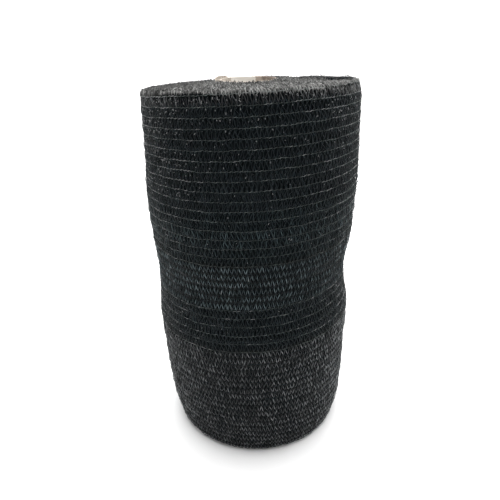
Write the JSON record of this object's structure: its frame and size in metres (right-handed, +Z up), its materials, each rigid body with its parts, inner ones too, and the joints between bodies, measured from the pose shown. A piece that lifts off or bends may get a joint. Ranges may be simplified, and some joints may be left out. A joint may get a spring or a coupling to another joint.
{
  "type": "roll of silage netting on a paper core",
  "caption": "Upright roll of black knitted silage netting, wound on an open paper core, for covering and weighing down silage sheets.",
  "frame": {"origin": "on the surface the roll stands on, under the middle of its box", "axes": "+Z up along the core, -Y towards the pictured side, +X to its right"},
  "size_m": [0.313, 0.3138, 0.5578],
  "materials": {
    "black_net": "knitted polyethylene tape, dull with a slight sheen",
    "grey_paper": "unprinted paper tube, matte"
  },
  "bodies": {
    "root": {"net_roll": "black_net", "core_tube": "grey_paper"}
  },
  "joints": []
}
